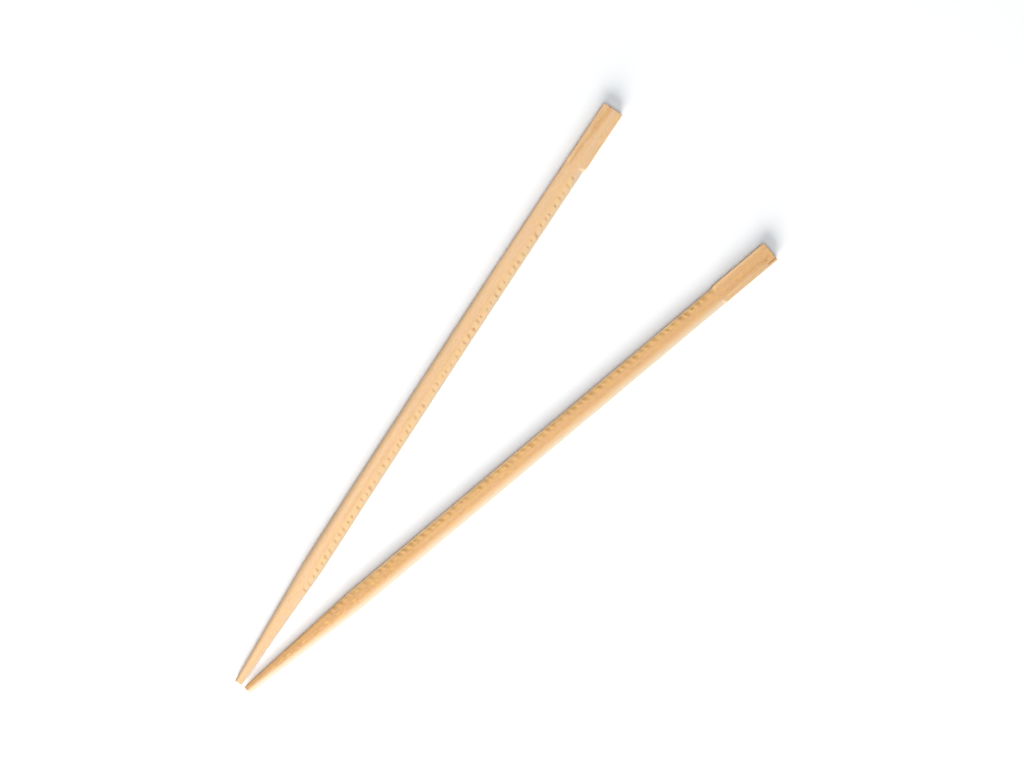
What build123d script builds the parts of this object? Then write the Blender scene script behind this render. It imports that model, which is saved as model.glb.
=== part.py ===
from build123d import *
from math import cos, radians, sin
import os

# Pair of wooden chopsticks, split from one sawn slat and laid open like a V.
#
# Lengths are millimetres and angles degrees. +Y runs along the middle line of the pair
# from the tips to the heads, +X points to the right stick and +Z is up. The origin is
# the middle of the pair's outline, on the surface that the sticks lie on.

# One stick: a plain head block, a body with four long chamfers, and a tapered tip
length = 230.0
body_width = 6.9
body_thickness = 5.0
head_length = 22.0  # the block by which the two sticks were joined
split_step = 0.45  # half the saw kerf: the body stands back this far from the torn face
edge_break = 0.15  # the head block's long edges, just taken off
run_out = 1.5  # length of the slope in which the chamfers start
taper_length = 46.0
tip_width = 2.7
tip_thickness = 3.4

# Long chamfers: width and depth at the head block, then at the start of the taper
left_inner_chamfer = (2.0, 0.6), (2.0, 0.8)
left_outer_chamfer = (1.3, 0.2), (1.6, 0.8)
right_inner_chamfer = (2.2, 0.4), (2.2, 0.7)
right_outer_chamfer = (1.45, 0.6), (2.7, 1.2)

# The wood has sprung a little since it was split: how far each stick's middle bows
# outwards from a straight line between its ends
left_bow = 0.63
right_bow = 0.1
bow_spans = 6  # straight spans of the body that follow the bow

# How the two sticks lie
opening_angle = 17.1
tip_gap = 1.2

# Places worked out from these sizes
LEFT, RIGHT = -1, 1
lean = radians(opening_angle / 2)
body_reach = body_width / 2  # from a stick's axis to either side of its body
torn_face_reach = body_reach + split_step  # from the axis to the head's torn face
tip_x = tip_gap / 2 + tip_width / 2 * cos(lean)
tip_y = -(length * cos(lean) + (torn_face_reach - tip_width / 2) * sin(lean)) / 2


def plane_across(side, from_head, bow):
    """Plane square to a stick, a distance from its head end: x to +X, y up."""
    from_tip = length - from_head
    outward = 4 * bow * (from_head / length) * (from_tip / length)
    axis_x = tip_x + from_tip * sin(lean) + outward * cos(lean)
    axis_y = tip_y + from_tip * cos(lean) - outward * sin(lean)
    return Plane(
        origin=(side * axis_x, axis_y, body_thickness / 2),
        x_dir=(cos(lean), -side * sin(lean), 0),
        z_dir=(-side * sin(lean), -cos(lean), 0),
    )


def outline(side, inner_reach, inner_cut, outer_cut):
    """The eight corners of a full-thickness section whose four edges are cut off."""
    top = body_thickness / 2
    inner_width, inner_depth = inner_cut
    outer_width, outer_depth = outer_cut
    upper_half = [
        (-inner_reach, top - inner_depth),
        (-inner_reach + inner_width, top),
        (body_reach - outer_width, top),
        (body_reach, top - outer_depth),
    ]
    lower_half = [(across, -up) for across, up in reversed(upper_half)]
    return [(side * across, up) for across, up in upper_half + lower_half]


def long_chamfer(chamfer, share):
    """Width and depth of a long chamfer at a share of the way along the body."""
    return tuple(start + share * (end - start) for start, end in zip(*chamfer))


def sections(side, inner_chamfer, outer_chamfer):
    """A stick's sections from head to tip, each as its distance from the head end
    and its corners."""
    edge_cut = (edge_break, edge_break)
    block = outline(side, torn_face_reach, edge_cut, edge_cut)
    stations = [(0, block), (head_length, block)]
    body_start = head_length + run_out
    body_end = length - taper_length
    for span in range(bow_spans + 1):
        share = span / bow_spans
        inner_cut = long_chamfer(inner_chamfer, share)
        outer_cut = long_chamfer(outer_chamfer, share)
        body = outline(side, body_reach, inner_cut, outer_cut)
        stations.append((body_start + share * (body_end - body_start), body))
    narrowing = tip_width / body_width
    thinning = tip_thickness / body_thickness
    tip = [(across * narrowing, up * thinning) for across, up in body]
    return stations + [(length, tip)]


with BuildPart() as left_chopstick:
    for from_head, corners in sections(LEFT, left_inner_chamfer, left_outer_chamfer):
        with BuildSketch(plane_across(LEFT, from_head, left_bow)):
            with BuildLine():
                Polyline(*corners, close=True)
            make_face()
    loft(ruled=True)

with BuildPart() as right_chopstick:
    for from_head, corners in sections(RIGHT, right_inner_chamfer, right_outer_chamfer):
        with BuildSketch(plane_across(RIGHT, from_head, right_bow)):
            with BuildLine():
                Polyline(*corners, close=True)
            make_face()
    loft(ruled=True)

left_chopstick.part.label = "left_chopstick"
right_chopstick.part.label = "right_chopstick"

os.makedirs("parts", exist_ok=True)
export_step(left_chopstick.part, "parts/left_chopstick.step")
export_step(right_chopstick.part, "parts/right_chopstick.step")
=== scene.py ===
from math import cos, radians, sin
from typing import NamedTuple

import bpy
import numpy as np
from mathutils import Matrix, Vector


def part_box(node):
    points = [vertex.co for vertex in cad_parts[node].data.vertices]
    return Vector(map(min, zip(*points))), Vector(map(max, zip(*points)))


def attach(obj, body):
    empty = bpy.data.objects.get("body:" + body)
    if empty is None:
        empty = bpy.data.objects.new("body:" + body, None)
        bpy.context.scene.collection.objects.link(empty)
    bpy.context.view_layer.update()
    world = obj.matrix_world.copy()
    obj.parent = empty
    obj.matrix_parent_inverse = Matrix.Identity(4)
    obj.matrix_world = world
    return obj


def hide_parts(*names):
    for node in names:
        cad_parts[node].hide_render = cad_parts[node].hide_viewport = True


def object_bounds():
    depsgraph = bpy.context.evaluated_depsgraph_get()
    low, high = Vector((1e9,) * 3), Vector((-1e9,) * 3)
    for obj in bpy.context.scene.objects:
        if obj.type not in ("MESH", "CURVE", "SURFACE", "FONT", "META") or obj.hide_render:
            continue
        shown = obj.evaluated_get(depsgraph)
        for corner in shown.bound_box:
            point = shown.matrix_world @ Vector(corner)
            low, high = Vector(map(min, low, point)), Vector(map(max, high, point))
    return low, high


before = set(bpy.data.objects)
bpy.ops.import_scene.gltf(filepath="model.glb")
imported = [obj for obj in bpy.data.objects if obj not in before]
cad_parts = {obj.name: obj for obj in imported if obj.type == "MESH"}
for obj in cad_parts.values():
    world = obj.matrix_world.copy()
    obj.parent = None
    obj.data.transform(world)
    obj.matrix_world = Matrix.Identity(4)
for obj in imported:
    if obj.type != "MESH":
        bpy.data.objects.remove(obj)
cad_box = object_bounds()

# Pair of split wooden chopsticks lying open like a V: planed bodies with long chamfers,
# cutter tears along the inner chamfers, torn faces where the pair was joined.
#
# A stick is worked out in its own terms, in millimetres: along it from the head end,
# across it with outwards positive, and up from its mid-thickness, or from the table where
# it is called height. Only place() turns these into the shared frame's metres.
MM = 0.001

# Sizes that the sticks share with the CAD nodes
LENGTH = 230.0
BODY_WIDTH = 6.9
THICKNESS = (cad_box[1].z - cad_box[0].z) / MM
HEAD_LENGTH = 22.0
SPLIT_STEP = 0.45  # the body stands back this far from the torn face
EDGE_BREAK = 0.15
RUN_OUT = 1.5  # length of the slope in which the chamfers start
TAPER_LENGTH = 46.0
TIP_WIDTH = 2.7
TIP_THICKNESS = 3.4
LEAN = radians(17.1 / 2)
TIP_GAP = 2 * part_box("right_chopstick")[0].x / MM

# Places worked out from these sizes
BODY_REACH = BODY_WIDTH / 2
TORN_REACH = BODY_REACH + SPLIT_STEP
BODY_START = HEAD_LENGTH + RUN_OUT
TAPER_START = LENGTH - TAPER_LENGTH
TIP_X = TIP_GAP / 2 + TIP_WIDTH / 2 * cos(LEAN)
TIP_Y = -(LENGTH * cos(LEAN) + (TORN_REACH - TIP_WIDTH / 2) * sin(LEAN)) / 2

# How finely a stick is divided. The panels go round the section from the upper inner
# edge, each with its number of columns between the two eased edges.
STATIONS = 1220
CAP_RINGS = 6
END_EASE_ROWS = 4
CORNER_COLUMNS = 5
PANELS = {
    "inner chamfer": 11,
    "top": 9,
    "outer chamfer": 7,
    "outer side": 2,
    "lower outer chamfer": 1,
    "underside": 1,
    "lower inner chamfer": 1,
    "inner side": 6,
}

# How the edges are eased. Each long edge has its own setback, in the panels' order.
EASES = np.array([0.4, 0.35, 0.35, 0.4, 0.3, 0.2, 0.2, 0.3])
EASE_LIMIT = 0.35  # largest setback, as a share of the narrower panel beside the edge
EASE_WEAR = 0.45  # how much the setbacks vary along a stick
EASE_LOST = 0.55  # share of setback and belly that is gone at the tip
BELLY = 0.06  # how far a chamfer is rounded, as a share of its width
END_EASE = 0.16

# Relief of the wood: depth below the plain section, and how much it varies
PLANED_DEPTH = 0.016
WAVES = 0.012
RIPPLES = 0.004
TORN_DEPTH = 0.09
TORN_FIBRES = 0.07
TORN_STRANDS = 0.035
SAWN_DEPTH = 0.02
SAW_LINES = 0.012
SAW_PITCH = 0.95
END_ROUGHNESS = 0.02

# Strength of a tear that hardly shows, and height of a tear's lip against its depth
FAINT_TEAR = 0.12
LIP_SHARE = 0.4

# Drift noise repeats after this many cells. The sticks' grain is read this far to either
# side, so that they differ.
CELLS = 128
GRAIN_SHIFT = 40.0


class Streak(NamedTuple):
    """A streak in the grain, dark where strength is positive and pale where negative.
    Past 1 either way it is a crack or a lifted edge. Some streaks are painted light instead:
    painted shade along shaded edges, and pale painted light along a shaded inner edge."""

    start: float
    end: float
    across_start: float
    across_end: float
    half_width: float
    strength: float
    depth: float = 0.0


class Tears(NamedTuple):
    """The row of small tears that the cutter left along an inner chamfer."""

    start: float
    end: float
    pitch: float
    across: float
    half_breadth: float  # across the stick
    width: float  # along it
    slant: float
    depth: float
    # painted shade on each tear's wall and where its lip's shadow falls
    painted_shade: float
    missing: float  # share of the tears that hardly show


class Stick(NamedTuple):
    """What sets one stick apart from the other."""

    node: str
    slot: str
    side: int
    seed: int
    bow: float
    inner_chamfer: tuple
    outer_chamfer: tuple
    wood: tuple
    deep_wood: tuple
    # The inner and outer side colours are painted light: they stand in for the light and shade on
    # each side, not for the wood.
    inner_painted_light: tuple
    outer_painted_light: tuple
    outer_share: tuple  # how much of the outer side's painted light shows, at the head and at the taper
    outer_span: tuple  # where it begins and is full, as shares of the way to the edge
    outer_span_at_tip: tuple
    fleck: float
    tears: Tears
    streaks: tuple


LEFT = Stick(
    node="left_chopstick",
    slot="left_wood",
    side=-1,
    seed=11,
    bow=0.63,
    inner_chamfer=((2.0, 0.6), (2.0, 0.8)),
    outer_chamfer=((1.3, 0.2), (1.6, 0.8)),
    wood=(0.78, 0.52, 0.295),
    deep_wood=(0.63, 0.34, 0.12),
    # Painted light: a grey painted sheen on the inner side, which faces the key light, and
    # painted shade on the outer side, which faces away from it.
    inner_painted_light=(0.665, 0.52, 0.375),
    outer_painted_light=(0.585, 0.41, 0.245),
    outer_share=(0.15, 0.95),
    outer_span=(0.55, 0.95),
    outer_span_at_tip=(0.55, 0.95),
    fleck=0.3,
    tears=Tears(
        start=27.5,
        end=197.0,
        pitch=2.75,
        across=-1.9,
        half_breadth=1.2,
        width=0.85,
        slant=0.3,
        depth=0.105,
        painted_shade=0.8,
        missing=0.04,
    ),
    streaks=(
        Streak(-3.0, 11.0, 0.5, 1.25, 0.85, 1.1),
        Streak(7.0, 25.0, 1.35, 2.0, 0.5, 1.0),
        Streak(14.0, 36.0, 1.8, 2.6, 0.22, 0.4),
        # painted shade on the outer edge of the head block
        Streak(-3.0, 22.0, 2.9, 3.2, 0.7, 0.5),
        # painted shade: a dark line along the tip's shaded outer edge
        Streak(192.0, 236.0, 3.08, 1.12, 0.17, 2.0),
    ),
)
RIGHT = Stick(
    node="right_chopstick",
    slot="right_wood",
    side=1,
    seed=29,
    bow=0.1,
    inner_chamfer=((2.2, 0.4), (2.2, 0.7)),
    outer_chamfer=((1.45, 0.6), (2.7, 1.2)),
    wood=(0.70, 0.415, 0.185),
    deep_wood=(0.57, 0.29, 0.095),
    # Painted light: brighter painted fill on the shaded inner side, and a pale painted highlight
    # on the outer side, which faces the key light.
    inner_painted_light=(0.80, 0.46, 0.19),
    outer_painted_light=(0.70, 0.60, 0.45),
    outer_share=(0.85, 1.0),
    outer_span=(0.1, 0.88),
    outer_span_at_tip=(-0.6, 0.5),
    fleck=0.6,
    tears=Tears(
        start=25.0,
        end=198.0,
        pitch=2.75,
        across=-2.4,
        half_breadth=1.4,
        width=1.4,
        slant=0.4,
        depth=0.09,
        painted_shade=0.67,
        missing=0.04,
    ),
    streaks=(
        Streak(1.0, 5.8, 0.55, 1.0, 0.13, 2.0, 0.1),
        Streak(2.2, 6.4, 1.1, 1.4, 0.12, 1.7, 0.06),
        Streak(-0.8, 4.2, 2.5, 2.65, 0.14, 2.0, 0.12),
        Streak(-2.0, 14.0, 2.9, 3.1, 0.3, 0.9, 0.02),
        Streak(-2.0, 26.0, 0.5, 0.8, 0.6, 0.6),
        Streak(8.0, 10.6, 0.3, 0.8, 0.25, 0.5),
        Streak(8.0, 22.5, 1.65, 1.75, 0.2, -1.7),
        Streak(9.0, 23.0, 2.15, 2.3, 0.18, 1.5, 0.05),
        # pale inner edges: on the head block partly pale split fibres, and along the whole shaded
        # inner edge painted light that lifts its shade
        Streak(-1.0, 23.0, -3.7, -3.65, 0.3, -1.3),
        Streak(-6.0, 215.0, -3.4, -3.2, 0.36, -1.9),
        Streak(12.0, 150.0, 1.5, 1.45, 0.6, -0.5),
        Streak(150.0, 228.0, -0.2, -0.6, 1.2, 0.85),
        # painted shade: a dark line along the tip's shaded inner edge
        Streak(192.0, 236.0, -2.98, -1.05, 0.2, 2.0),
        Streak(220.0, 233.0, -0.5, -0.35, 0.12, 1.5),
    ),
)


# ---------------------------------------------------------------------------- helpers


def smooth(value, start, end):
    """0 before start, 1 after end, and the cubic 3t^2 - 2t^3 between."""
    t = np.clip((value - start) / (end - start), 0.0, 1.0)
    return t * t * (3.0 - 2.0 * t)


def drift(x, y, seed):
    """Smooth noise from -1 to 1: random values on whole numbers of x and y, blended
    between them with the same cubic."""
    table = np.random.default_rng(seed).uniform(-1.0, 1.0, (CELLS, CELLS))
    x, y = np.broadcast_arrays(x, y)
    left, low = np.floor(x).astype(int), np.floor(y).astype(int)
    u, v = smooth(x - left, 0.0, 1.0), smooth(y - low, 0.0, 1.0)
    i, j, i_next, j_next = left % CELLS, low % CELLS, (left + 1) % CELLS, (low + 1) % CELLS
    near = table[i, j] * (1 - u) + table[i_next, j] * u
    far = table[i, j_next] * (1 - u) + table[i_next, j_next] * u
    return near * (1 - v) + far * v


def place(stick, along, across, height):
    """Points in the shared frame, in metres. The axis leans out from the tips to the
    heads, and its middle bows outwards by the parabola 4 bow t (1 - t)."""
    from_tip = LENGTH - along
    bowed = across + 4 * stick.bow * along * from_tip / LENGTH**2
    x = TIP_X + from_tip * sin(LEAN) + bowed * cos(LEAN)
    y = TIP_Y + from_tip * cos(LEAN) - bowed * sin(LEAN)
    return np.stack([stick.side * x, y, height], axis=-1) * MM


def add_object(name, data):
    """A new object in the scene."""
    added = bpy.data.objects.new(name, data)
    bpy.context.scene.collection.objects.link(added)
    return added


# ------------------------------------------------------------------ shape of one stick


def rows():
    """Distance along the stick, inset of the sides and share of the way out from the
    pole, for every row of the grid. The end caps are rings that stay at an end and
    shrink to its pole. The ends' edges are eased on a quarter circle."""
    turn = np.linspace(0.0, np.pi / 2, END_EASE_ROWS + 1)[1:]
    eased = END_EASE * (1 - np.sin(turn))[::-1]
    drop = END_EASE * (1 - np.cos(turn))[::-1]
    body = np.linspace(END_EASE, LENGTH - END_EASE, STATIONS)
    cap = np.zeros(CAP_RINGS - 1)
    along = np.concatenate([cap, eased, body, LENGTH - eased[::-1], cap + LENGTH])
    inset = np.concatenate([drop, np.zeros(STATIONS), drop[::-1]])
    inset = np.concatenate([cap + inset[0], inset, cap + inset[-1]])
    outwards = np.arange(1, CAP_RINGS) / CAP_RINGS
    full = np.ones(STATIONS + 2 * END_EASE_ROWS)
    ring = np.concatenate([outwards, full, outwards[::-1]])
    return along, inset, ring


def chamfer(sizes, along):
    """Width and depth of a long chamfer: nearly nothing on the head block, then a sloping
    run-out, then a straight change from its first to its last width and depth."""
    opened = np.clip((along - HEAD_LENGTH) / RUN_OUT, 0.0, 1.0)
    share = np.clip((along - BODY_START) / (TAPER_START - BODY_START), 0.0, 1.0)
    return tuple(
        EDGE_BREAK + opened * (first + share * (last - first) - EDGE_BREAK)
        for first, last in zip(*sizes)
    )


def corner_lines(stick, along):
    """The eight long edges, as across and up at every row. The taper scales the section
    across and upwards in straight lines to the tip."""
    step = SPLIT_STEP * (1.0 - smooth(along, HEAD_LENGTH, BODY_START))
    inner = -(BODY_REACH + step)
    outer = np.full_like(along, BODY_REACH)
    top = np.full_like(along, THICKNESS / 2)
    inner_width, inner_depth = chamfer(stick.inner_chamfer, along)
    outer_width, outer_depth = chamfer(stick.outer_chamfer, along)
    across = [inner, inner + inner_width, outer - outer_width, outer]
    up = [top - inner_depth, top, top, top - outer_depth]
    across = np.stack(across + across[::-1], axis=1)
    up = np.stack(up + [-line for line in up[::-1]], axis=1)
    taper = np.clip((along - TAPER_START) / TAPER_LENGTH, 0.0, 1.0)[:, None]
    across = across * (1.0 + taper * (TIP_WIDTH / BODY_WIDTH - 1.0))
    up = up * (1.0 + taper * (TIP_THICKNESS / THICKNESS - 1.0))
    return np.stack([across, up], axis=-1)


def columns_round(corners, ease, belly):
    """Points round each section: a few on every eased corner, on a quadratic curve, and
    then the evenly spaced columns of the panel that follows. Chamfers are slightly
    rounded: they stand out from a flat face by 4 belly t (1 - t) times their width."""
    to_last = np.roll(corners, 1, axis=1) - corners
    to_next = np.roll(corners, -1, axis=1) - corners
    last_size = np.linalg.norm(to_last, axis=-1, keepdims=True)
    next_size = np.linalg.norm(to_next, axis=-1, keepdims=True)
    setback = np.minimum(ease[:, :, None], EASE_LIMIT * np.minimum(last_size, next_size))
    before = corners + to_last / last_size * setback
    after = corners + to_next / next_size * setback
    turn = np.linspace(0.0, 1.0, CORNER_COLUMNS)[None, :, None]
    parts = []
    for i, (name, count) in enumerate(PANELS.items()):
        curve = (1 - turn) ** 2 * before[:, i, None] + turn**2 * after[:, i, None]
        curve = curve + 2 * turn * (1 - turn) * corners[:, i, None]
        start, end = after[:, i, None], before[:, (i + 1) % len(PANELS), None]
        share = (np.arange(1, count + 1) / (count + 1))[None, :, None]
        panel = start + share * (end - start)
        if "chamfer" in name:
            out = np.stack([start[..., 1] - end[..., 1], end[..., 0] - start[..., 0]], axis=-1)
            panel = panel + 4 * belly * share * (1 - share) * out
        parts += [curve, panel]
    return np.concatenate(parts, axis=1)


def plain_section(stick, along):
    """The section at every row before any relief, and how far its widest corner is from
    the axis. The eased edges vary along the stick, and grow finer down the taper."""
    corners = corner_lines(stick, along)
    edges = np.arange(len(PANELS))[None]
    wear = 1.0 + EASE_WEAR * drift(along[:, None] * 0.12, edges * 7.3, stick.seed)
    girth_left = 1.0 - EASE_LOST * smooth(along, TAPER_START, LENGTH)[:, None]
    eases = EASES[None] * wear * girth_left
    section = columns_round(corners, eases, BELLY * girth_left[..., None])
    return section, np.abs(corners[..., 0]).max(-1, keepdims=True)


def outward(section):
    """Each point's direction out of the stick, from its neighbours round the section."""
    neighbours = np.roll(section, -1, axis=1) - np.roll(section, 1, axis=1)
    normal = np.stack([-neighbours[..., 1], neighbours[..., 0]], axis=-1)
    return normal / np.linalg.norm(normal, axis=-1, keepdims=True)


def tear_marks(stick, along, across):
    """Depth, painted shade and painted highlight of the cutter's tears. Each vertex belongs to
    the nearest mark, found along slanted lines. Along a mark the wood sinks slowly, then
    rises in a short wall to a small lip; across it everything fades with (1 - q^2)^2. The shade
    is painted on the wall and where the lip's shadow falls towards the head, the highlight on
    the lip's slope that faces the tip and the key light.
    Depth is negative into the wood, here and in streak_marks()."""
    t = stick.tears
    rng = np.random.default_rng(stick.seed)
    count = int((t.end - t.start) / t.pitch)
    centre = t.start + t.pitch * (np.arange(count) + rng.uniform(-0.2, 0.2, count))
    middle = t.across + rng.uniform(-0.22, 0.22, count)
    size = rng.uniform(0.7, 1.15, count)
    is_faint = rng.uniform(size=count) < t.missing
    force = np.where(is_faint, FAINT_TEAR, rng.uniform(0.55, 1.0, count))
    slant = t.slant * rng.uniform(0.6, 1.4, count)
    lined_up = along - t.slant * (t.across - across)
    nearest = np.searchsorted((centre[1:] + centre[:-1]) / 2, lined_up)
    ragged = drift(along * 1.3, across * 2.2, stick.seed + 7)
    p = along - centre[nearest] - slant[nearest] * (middle[nearest] - across) + 0.22 * ragged
    q = (across - middle[nearest]) / (t.half_breadth * size[nearest])
    window = np.clip(1.0 - q**2, 0.0, 1.0) ** 2 * force[nearest]
    window = window * (0.75 + 0.4 * drift(along * 2.1, across * 2.6, stick.seed + 8))
    p = p / (t.width * size[nearest])
    scoop = smooth(p, -1.6, -0.1) * (1.0 - smooth(p, -0.05, 0.5))
    lip = smooth(p, 0.05, 0.6) * (1.0 - smooth(p, 0.7, 1.8))
    depth = t.depth * window * (LIP_SHARE * lip - scoop)
    # The tears' dark is painted shade, on the wall and where the lip's shadow falls; their pale
    # is a painted highlight on the lip's slope that faces the tip and the key light.
    lip_shade = window * smooth(p, -1.0, -0.15) * (1.0 - smooth(p, 0.0, 0.6))
    pale = window * smooth(p, 0.25, 0.8) * (1.0 - smooth(p, 1.0, 2.2))
    return depth, t.painted_shade * lip_shade, np.maximum(pale, pale_band(stick, along, across))


def pale_band(stick, along, across):
    """The paler wood between the tears: a bell curve across, which comes in round the
    first tear, fades out over the last ones and varies along the stick."""
    t = stick.tears
    band = np.exp(-(((across - t.across) / t.half_breadth) ** 2))
    band = band * smooth(along, t.start - 2, t.start + 2) * (1 - smooth(along, t.end - 20, t.end))
    return band * (0.55 + 0.25 * drift(along * 0.6, across * 0.5, stick.seed + 9))


def streak_marks(stick, along, across):
    """Tone and depth of the grain's streaks: each follows a straight line, fades to its
    sides like a bell curve, and fades in and out at its ends. Some streaks are painted light:
    dark lines of painted shade along shaded edges, and pale painted light along a shaded
    inner edge."""
    tone, depth = np.zeros_like(across), np.zeros_like(across)
    for i, s in enumerate(stick.streaks):
        share = np.clip((along - s.start) / (s.end - s.start), 0.0, 1.0)
        line = s.across_start + share * (s.across_end - s.across_start)
        line = line + s.half_width * 0.5 * drift(along * 0.35, i + 0.5, stick.seed + 3)
        fade = 0.2 * (s.end - s.start)
        ends = smooth(along, s.start, s.start + fade) * (1 - smooth(along, s.end - fade, s.end))
        bell = np.exp(-(((across - line) / s.half_width) ** 2)) * ends
        tone = tone + s.strength * bell
        depth = depth - s.depth * bell
    return tone, depth


def relief(stick, along, up, torn, sawn, cut):
    """How far each point stands out from the plain section: slow waves and ripples all
    over, the cuts of tears and streaks, fibres on the torn face, and on the sawn side
    lines that curve with the square of the height."""
    girth = np.arange(along.shape[1])[None, :] * 0.31
    fibres = drift(along * 0.22, up * 4.0 + 9.0, stick.seed + 1)
    strands = drift(along * 0.9, up * 9.0, stick.seed + 2)
    lines = np.sin(2 * np.pi * (along / SAW_PITCH + 0.12 * up**2))
    out = WAVES * drift(along * 0.045, girth * 0.3, stick.seed + 4)
    out = out + RIPPLES * drift(along * 0.6, girth * 2.0, stick.seed + 5)
    out = out + cut
    out = out - torn * (TORN_DEPTH + TORN_FIBRES * fibres + TORN_STRANDS * strands)
    out = out - sawn * (SAWN_DEPTH + SAW_LINES * lines)
    return out - (1.0 - torn - sawn) * PLANED_DEPTH


def painted_side_light(stick, along, up, to_edge, on_block):
    """Shares of the outer and the inner sides' painted light: colour that stands in for how the
    key light falls on each side. The outer one grows from head to
    taper, is weaker on the head block and low down, and its span shifts with the square
    of the way down the taper."""
    tapered = np.clip((along - TAPER_START) / TAPER_LENGTH, 0.0, 1.0) ** 2
    span = [a + (b - a) * tapered for a, b in zip(stick.outer_span, stick.outer_span_at_tip)]
    at_head, at_taper = stick.outer_share
    share = at_head + (at_taper - at_head) * smooth(along, 0.0, TAPER_START)
    outer_light_share = smooth(to_edge, *span) * share
    outer_light_share = outer_light_share * (1.0 - 0.55 * on_block) * (0.3 + 0.7 * smooth(up, -0.8, 1.5))
    inner_light_share = smooth(-to_edge, 0.35, 0.85) * (1.0 - on_block)
    return outer_light_share, inner_light_share


def draw_in(section, along, inset, ring):
    """The section drawn in at the ends: by the eased edge's inset, which is a larger
    share of the slimmer tip, and over each cap to its pole."""
    inset_share = np.stack([inset / BODY_REACH, inset / (THICKNESS / 2)], axis=-1)
    slimmer = np.where(along[:, :1] > LENGTH / 2, BODY_WIDTH / TIP_WIDTH, 1.0)
    shrink = ring[:, None] * (1.0 - inset_share * slimmer)
    return section * shrink[:, None, :]


def stick_surface(stick):
    """The finished points of a stick, row by row and column by column, with the marks
    that its material reads. Each mark is a share or a strength, and the tears, cracks and
    streaks keep to the upper half. A point moves out along its normal by its relief. The
    end faces are rough: their points move inwards by noise, less so near the edge."""
    along, inset, ring = rows()
    section, reach = plain_section(stick, along)
    normal = outward(section)
    along = np.broadcast_to(along[:, None], section.shape[:2]).copy()
    across, up = section[..., 0], section[..., 1]
    upper = smooth(up, 0.0, 0.4)
    near_top = smooth(up, 0.2, 2.1)
    on_block = 1.0 - smooth(along, HEAD_LENGTH - 0.2, BODY_START)
    facing_in = smooth(-normal[..., 0], 0.6, 0.95)
    torn = on_block * facing_in
    sawn = (1.0 - on_block) * facing_in

    tear_depth, tear_shade, tear_highlight_and_band = tear_marks(stick, along, across)
    tone, streak_depth = streak_marks(stick, along, across)
    cut = upper * (tear_depth + streak_depth)
    section = section + normal * relief(stick, along, up, torn, sawn, cut)[..., None]
    outer_light_share, inner_light_share = painted_side_light(stick, along, up, across / reach, on_block)

    section = draw_in(section, along, inset, ring)
    across, up = section[..., 0], section[..., 1]
    end_grain = np.broadcast_to((inset > END_EASE * 0.6)[:, None], along.shape).astype(float)
    inwards = np.where(along > LENGTH / 2, -1.0, 1.0)
    roughness = END_ROUGHNESS + END_ROUGHNESS * drift(across * 6.0, up * 6.0, stick.seed + 6)
    along = along + inwards * end_grain * roughness * (1 - smooth(ring[:, None], 0.8, 1.0))
    sides = 1.0 - end_grain
    # Marks that carry painted light: the tears' painted shade and the painted highlight on their
    # lips, some streaks, and the two sides' shares.
    marks = {
        "painted_tear_shade": sides * upper * tear_shade,
        "lip_highlight_and_band": sides * upper * tear_highlight_and_band,
        "torn": sides * (torn + 0.5 * sawn),
        "streak_and_painted_light": sides * near_top * tone,
        "outer_light_share": sides * outer_light_share,
        "inner_light_share": sides * inner_light_share,
        "end_grain": end_grain,
    }
    return along, across, up + THICKNESS / 2, marks


def grid_faces(row_count, column_count, poles):
    """Quads between neighbouring rows, closed round the section, and a fan of triangles
    at each pole, all with the same winding."""
    first = np.arange(row_count * column_count).reshape(row_count, column_count)
    second = np.roll(first, -1, axis=1)
    quads = np.stack([first[:-1], second[:-1], second[1:], first[1:]], -1).reshape(-1, 4)
    head_fan = np.stack([second[0], first[0], np.full(column_count, poles[0])], -1)
    tip_fan = np.stack([first[-1], second[-1], np.full(column_count, poles[1])], -1)
    return quads, np.concatenate([head_fan, tip_fan])


def new_mesh(name, points, quads, triangles):
    """A mesh of quads and triangles, smooth shaded."""
    mesh = bpy.data.meshes.new(name)
    mesh.vertices.add(len(points))
    mesh.vertices.foreach_set("co", points.astype(np.float32).ravel())
    loops = np.concatenate([quads.ravel(), triangles.ravel()]).astype(np.int32)
    sizes = np.repeat([4, 3], [len(quads), len(triangles)])
    mesh.loops.add(len(loops))
    mesh.loops.foreach_set("vertex_index", loops)
    mesh.polygons.add(len(sizes))
    mesh.polygons.foreach_set("loop_start", (np.cumsum(sizes) - sizes).astype(np.int32))
    mesh.polygons.foreach_set("use_smooth", np.ones(len(sizes), dtype=bool))
    mesh.update(calc_edges=True)
    return mesh


def add_marks(mesh, grain, marks):
    """Writes the stick's own coordinates and its marks as point attributes."""
    layer = mesh.attributes.new("grain_place", "FLOAT_VECTOR", "POINT")
    layer.data.foreach_set("vector", grain.astype(np.float32).ravel())
    for name, values in marks.items():
        layer = mesh.attributes.new(name, "FLOAT", "POINT")
        layer.data.foreach_set("value", values.astype(np.float32).ravel())


def with_poles(values):
    """Row-and-column values as one list, followed by the means of the two end rows."""
    flat = values.reshape(-1, *values.shape[2:])
    return np.concatenate([flat, values[0].mean(0)[None], values[-1].mean(0)[None]])


def build_stick(stick):
    """One stick as a closed surface, in place."""
    along, across, height, marks = stick_surface(stick)
    row_count, column_count = along.shape
    along, across, height = (with_poles(v) for v in (along, across, height))
    points = place(stick, along, across, height)
    poles = (len(points) - 2, len(points) - 1)
    quads, triangles = grid_faces(row_count, column_count, poles)
    if stick.side > 0:
        quads, triangles = quads[:, ::-1], triangles[:, ::-1]
    mesh = new_mesh(stick.node + "_wood", points, quads, triangles)
    grain = np.stack([across + GRAIN_SHIFT * stick.side, along, height], axis=-1)
    add_marks(mesh, grain, {name: with_poles(v) for name, v in marks.items()})
    return add_object(stick.node + "_wood", mesh)


# -------------------------------------------------------------------------- materials

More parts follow.
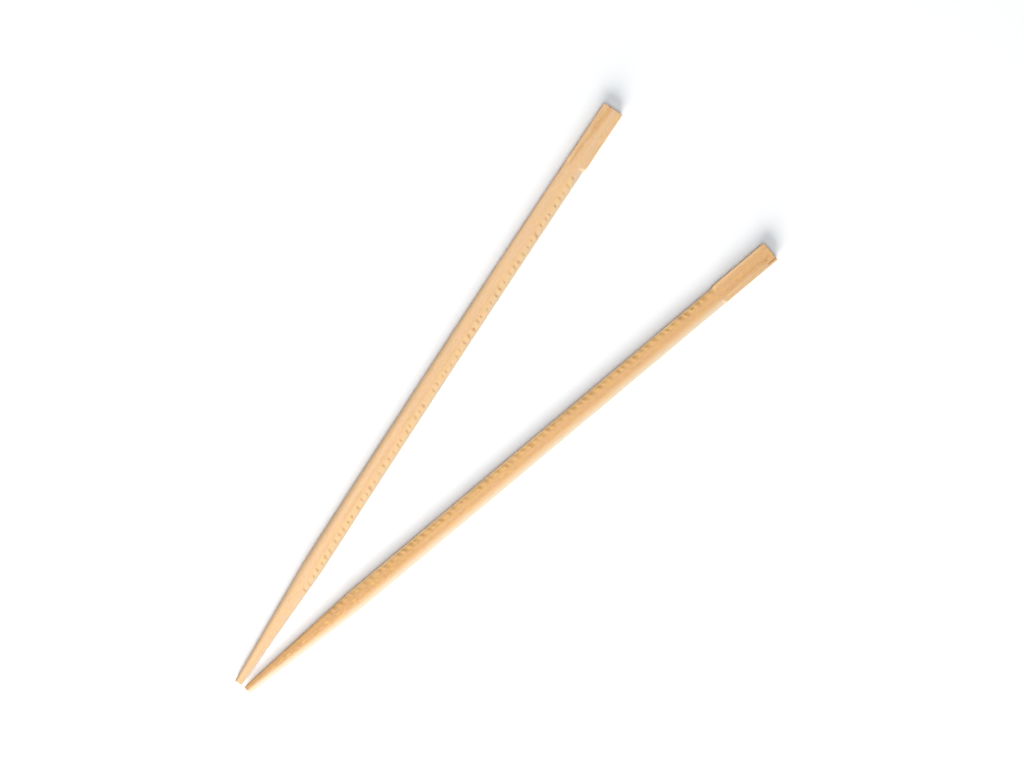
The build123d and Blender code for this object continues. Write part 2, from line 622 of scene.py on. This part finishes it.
TORN_WOOD = (0.84, 0.63, 0.41)


def paint(r, g, b):
    """A colour with full alpha."""
    return (r, g, b, 1.0)


def tinted(colour, factors):
    """A colour with its red, green and blue each scaled, and full alpha."""
    return paint(*(min(1.0, c * k) for c, k in zip(colour, factors)))


class Shader:
    """Short hand for a material's nodes. All but surface() return the new node's output."""

    def __init__(self, name):
        self.material = bpy.data.materials.new(name)
        self.material.use_nodes = True
        self.tree = self.material.node_tree
        self.tree.nodes.clear()

    def node(self, kind, inputs, output=0, **settings):
        node = self.tree.nodes.new(kind)
        for key, value in settings.items():
            setattr(node, key, value)
        for key, value in inputs.items():
            if isinstance(value, bpy.types.NodeSocket):
                self.tree.links.new(value, node.inputs[key])
            else:
                node.inputs[key].default_value = value
        return node.outputs[output] if node.outputs else None

    def mark(self, name, output="Fac"):
        return self.node("ShaderNodeAttribute", {}, output, attribute_name=name)

    def math(self, operation, a, b):
        return self.node("ShaderNodeMath", {0: a, 1: b}, operation=operation)

    def noise(self, grain, scales, detail=2.0, roughness=0.5):
        stretched = self.node("ShaderNodeVectorMath", {0: grain, 1: scales}, operation="MULTIPLY")
        inputs = {"Vector": stretched, "Scale": 1.0, "Detail": detail, "Roughness": roughness}
        return self.node("ShaderNodeTexNoise", inputs, "Fac")

    def ramp(self, value, low, high, to_low=0.0, to_high=1.0):
        inputs = {"Value": value, "From Min": low, "From Max": high}
        inputs |= {"To Min": to_low, "To Max": to_high}
        return self.node("ShaderNodeMapRange", inputs, "Result", clamp=True)

    def mix(self, share, a, b):
        """The Mix node's colour sockets are its inputs 6 and 7 and its output 2."""
        return self.node("ShaderNodeMix", {0: share, 6: a, 7: b}, 2, data_type="RGBA")

    def surface(self, inputs):
        """Ends the material in a Principled shader."""
        shader = self.node("ShaderNodeBsdfPrincipled", inputs)
        self.node("ShaderNodeOutputMaterial", {"Surface": shader})


def bare_wood(s, stick, grain, fibres):
    """The wood's own colour: growth bands, warm patches, fibres and dark streaks, some of
    them painted shade, and then the painted light of the outer and inner sides."""
    deep = paint(*stick.deep_wood)
    bands = s.noise(grain, (0.9, 0.012, 0.7), 3.0)
    patches = s.noise(grain, (0.35, 0.11, 0.35))
    colour = s.mix(s.ramp(bands, 0.35, 0.7, 0.0, 0.5), paint(*stick.wood), deep)
    warmer = tinted(stick.wood, (1.03, 0.96, 0.93))
    colour = s.mix(s.ramp(patches, 0.4, 0.65, 0.0, 0.6), colour, warmer)
    colour = s.mix(s.ramp(fibres, 0.3, 0.7, 0.0, 0.22), colour, deep)
    colour = s.mix(s.ramp(s.mark("streak_and_painted_light"), 0.0, 1.0), colour, deep)
    colour = s.mix(s.mark("outer_light_share"), colour, paint(*stick.outer_painted_light))
    return s.mix(s.mark("inner_light_share"), colour, paint(*stick.inner_painted_light))


def flecks_and_mottle(s, stick, grain, colour, tints):
    """Small flecks, darker and paler, and larger golden and rosy spots. Both fade where
    the outer side's painted light shows."""
    outer_light_share = s.mark("outer_light_share")
    flecks = s.noise(grain, (2.6, 0.55, 2.6), 3.0, 0.65)
    fleck = s.ramp(outer_light_share, 0.0, 1.0, stick.fleck, 0.3 * stick.fleck)
    dark_flecks = s.math("MULTIPLY", s.ramp(flecks, 0.5, 0.85), fleck)
    pale_flecks = s.math("MULTIPLY", s.ramp(flecks, 0.5, 0.15), fleck)
    colour = s.mix(dark_flecks, colour, tints["darker"])
    colour = s.mix(pale_flecks, colour, tints["pale"])
    mottle = s.noise(grain, (0.9, 0.45, 0.9), 2.0, 0.6)
    mottling = s.ramp(outer_light_share, 0.0, 1.0, 1.7 * stick.fleck, 0.1 * stick.fleck)
    golden_mottle = s.math("MULTIPLY", s.ramp(mottle, 0.5, 0.72), mottling)
    rosy_mottle = s.math("MULTIPLY", s.ramp(mottle, 0.5, 0.28), mottling)
    colour = s.mix(golden_mottle, colour, tints["golden"])
    return s.mix(rosy_mottle, colour, tints["rosy"])


def marks_in_wood(s, stick, grain, colour, pores, tints):
    """Pale streaks, pores, the painted highlight on the tears' lifted lips, cracks, the tears'
    painted shade, the torn face with its splinters, and the end grain, each over the last.
    Some pale streaks are painted light on a shaded edge, and some cracks are dark lines of
    painted shade."""
    streak_and_painted_light, torn = s.mark("streak_and_painted_light"), s.mark("torn")
    colour = s.mix(s.ramp(streak_and_painted_light, 0.0, -1.0), colour, tints["pale"])
    colour = s.mix(s.math("MULTIPLY", pores, 0.25), colour, tints["darker"])
    lip_highlight_and_band = s.ramp(s.mark("lip_highlight_and_band"), 0.0, 1.0, 0.0, 0.7)
    colour = s.mix(lip_highlight_and_band, colour, tints["golden"])
    colour = s.mix(s.ramp(streak_and_painted_light, 1.2, 2.0), colour, tints["darker"])
    colour = s.mix(s.mark("painted_tear_shade"), colour, tints["darker"])
    # torn faces, and the pale edges past -1, some of which are painted light on a shaded edge
    torn_and_pale_edges = s.math("ADD", torn, s.ramp(streak_and_painted_light, -1.0, -2.0))
    fuzz = s.ramp(torn_and_pale_edges, 0.0, 1.0, 0.0, 0.85)
    colour = s.mix(fuzz, colour, paint(*TORN_WOOD))
    splinters = s.ramp(s.noise(grain, (0.5, 0.16, 3.2), 4.0, 0.65), 0.48, 0.7, 0.0, 0.6)
    colour = s.mix(s.math("MULTIPLY", torn, splinters), colour, paint(*stick.deep_wood))
    rings = s.ramp(s.noise(grain, (2.4, 0.0, 0.5)), 0.35, 0.65, 0.3, 0.8)
    end_rings = s.math("MULTIPLY", s.mark("end_grain"), rings)
    return s.mix(end_rings, colour, tinted(stick.wood, (0.8, 0.74, 0.68)))


def wood_material(stick):
    """Bare planed wood. Growth bands, fibres and pores are noise stretched along the
    grain; the tears with their painted shade, the painted highlight on the lifted lips, the
    sides' painted light, torn faces and end grain come from the mesh's marks."""
    s = Shader(stick.slot)
    grain = s.mark("grain_place", "Vector")
    fibres = s.noise(grain, (7.0, 0.12, 7.0), 4.0, 0.6)
    fine = s.noise(grain, (22.0, 0.6, 22.0), 3.0, 0.6)
    pores = s.ramp(s.noise(grain, (11.0, 0.45, 11.0), 1.0), 0.66, 0.74)
    tints = {
        "pale": tinted(stick.wood, (1.1, 1.15, 1.25)),
        "golden": tinted(stick.wood, (1.06, 1.03, 0.75)),
        "rosy": tinted(stick.wood, (1.03, 0.94, 1.02)),
        "darker": tinted(stick.deep_wood, (0.7, 0.62, 0.5)),
    }
    colour = bare_wood(s, stick, grain, fibres)
    colour = flecks_and_mottle(s, stick, grain, colour, tints)
    colour = marks_in_wood(s, stick, grain, colour, pores, tints)

    relief_height = s.math("ADD", s.math("MULTIPLY", fibres, 0.6), s.math("MULTIPLY", fine, 0.4))
    relief_height = s.math("SUBTRACT", relief_height, s.math("MULTIPLY", pores, 0.5))
    broken = s.math("ADD", s.mark("torn"), s.mark("painted_tear_shade"))
    strength = s.ramp(broken, 0.0, 1.0, 0.25, 0.9)
    bump_inputs = {"Strength": strength, "Distance": 0.04 * MM, "Height": relief_height}
    bump = s.node("ShaderNodeBump", bump_inputs)
    rough = s.ramp(broken, 0.0, 1.0, 0.56, 0.85)
    inputs = {"Base Color": colour, "Roughness": rough, "Normal": bump}
    s.surface(inputs | {"Specular IOR Level": 0.35})
    return s.material


# -------------------------------------------------------------- table, light and camera

# The table, in metres: how far it reaches from the middle, where its colour turns paler,
# as painted light that makes up for the lamps falling off, and where its glow begins and is full
TABLE_REACH = 12.0
PALER_FROM, PALER_TO = 0.12, 0.2
GLOW_FROM, GLOW_TO = 0.35, 1.6

# Colours of the lights
WARM = (1.03, 1.0, 0.96)
COOL = (0.955, 1.0, 1.05)

# The camera: its lens, where it looks, how far away it is, how far it is turned, and by
# how much and which way it stands off the vertical, in degrees
SENSOR_WIDTH = 36.0
FOCAL_LENGTH = 88.4
LOOK_AT = Vector((0.43, 21.88, 0.0)) * MM
CAMERA_DISTANCE = 0.85
CAMERA_TURN = 41.65
CAMERA_LEAN = 4.5
LEAN_BEARING = 168.8


def plain_table():
    """A large pale surface under the sticks. It is painted a little paler away from them, as
    painted light where the lamps fall off, and glows faintly far off, where the lights don't
    reach."""
    far = TABLE_REACH
    corners = [(-far, -far, 0.0), (far, -far, 0.0), (far, far, 0.0), (-far, far, 0.0)]
    mesh = bpy.data.meshes.new("table")
    mesh.from_pydata(corners, [], [(0, 1, 2, 3)])
    table = add_object("table", mesh)
    s = Shader("pale_table")
    on_table = s.node("ShaderNodeTexCoord", {}, "Object")
    from_middle = s.node("ShaderNodeVectorMath", {0: on_table}, "Value", operation="LENGTH")
    # painted light: the floor turns paler away from the middle, where the lamps fall off
    away = s.ramp(from_middle, PALER_FROM, PALER_TO)
    colour = s.mix(away, paint(0.93, 0.93, 0.93), paint(0.99, 0.99, 0.985))
    glow = s.ramp(from_middle, GLOW_FROM, GLOW_TO, 0.0, 0.95)
    inputs = {"Base Color": colour, "Roughness": 0.9}
    inputs |= {"Emission Color": paint(1.0, 1.0, 1.0), "Emission Strength": glow}
    s.surface(inputs)
    s.material.cycles.emission_sampling = "NONE"
    mesh.materials.append(s.material)


def soft_light(name, bearing, elevation, distance, size, watts, colour):
    """A round area light that looks at the origin. Bearing is in degrees from +X."""
    data = bpy.data.lights.new(name, "AREA")
    data.shape = "DISK"
    data.size = size
    data.energy = watts
    data.color = colour
    turn, rise = radians(bearing), radians(elevation)
    towards = Vector((cos(turn) * cos(rise), sin(turn) * cos(rise), sin(rise)))
    light = add_object(name, data)
    light.location = towards * distance
    light.rotation_euler = towards.to_track_quat("Z", "Y").to_euler()


def even_sky(strength):
    """Faint cool light from all round."""
    world = bpy.data.worlds.new("even_sky")
    world.use_nodes = True
    background = world.node_tree.nodes["Background"]
    background.inputs["Color"].default_value = paint(0.75, 0.88, 1.0)
    background.inputs["Strength"].default_value = strength
    bpy.context.scene.world = world


def camera_above():
    """The camera looks almost straight down, from a little way out on the left stick's
    side, and is turned so that the tips point to the lower left."""
    data = bpy.data.cameras.new("camera")
    data.sensor_width = SENSOR_WIDTH
    data.lens = FOCAL_LENGTH
    camera = add_object("camera", data)
    lean, towards = radians(CAMERA_LEAN), radians(CAMERA_TURN + LEAN_BEARING)
    away = Vector((sin(lean) * cos(towards), sin(lean) * sin(towards), cos(lean)))
    camera.location = LOOK_AT + away * CAMERA_DISTANCE
    level = Matrix.Rotation(radians(CAMERA_TURN), 3, "Z")
    tip_over = Matrix.Rotation(lean, 3, Vector((-sin(towards), cos(towards), 0.0)))
    camera.rotation_euler = (tip_over @ level).to_euler()
    bpy.context.scene.camera = camera


for stick in (LEFT, RIGHT):
    piece = build_stick(stick)
    piece.data.materials.append(wood_material(stick))
    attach(piece, "root")
    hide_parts(stick.node)

plain_table()
soft_light(
    "key", bearing=-65.0, elevation=31.0, distance=1.35, size=1.15, watts=24.4, colour=WARM
)
soft_light(
    "overhead", bearing=-112.0, elevation=85.0, distance=1.5, size=0.75, watts=13.8, colour=COOL
)
even_sky(0.05)
camera_above()
bpy.context.scene.view_settings.view_transform = "Standard"
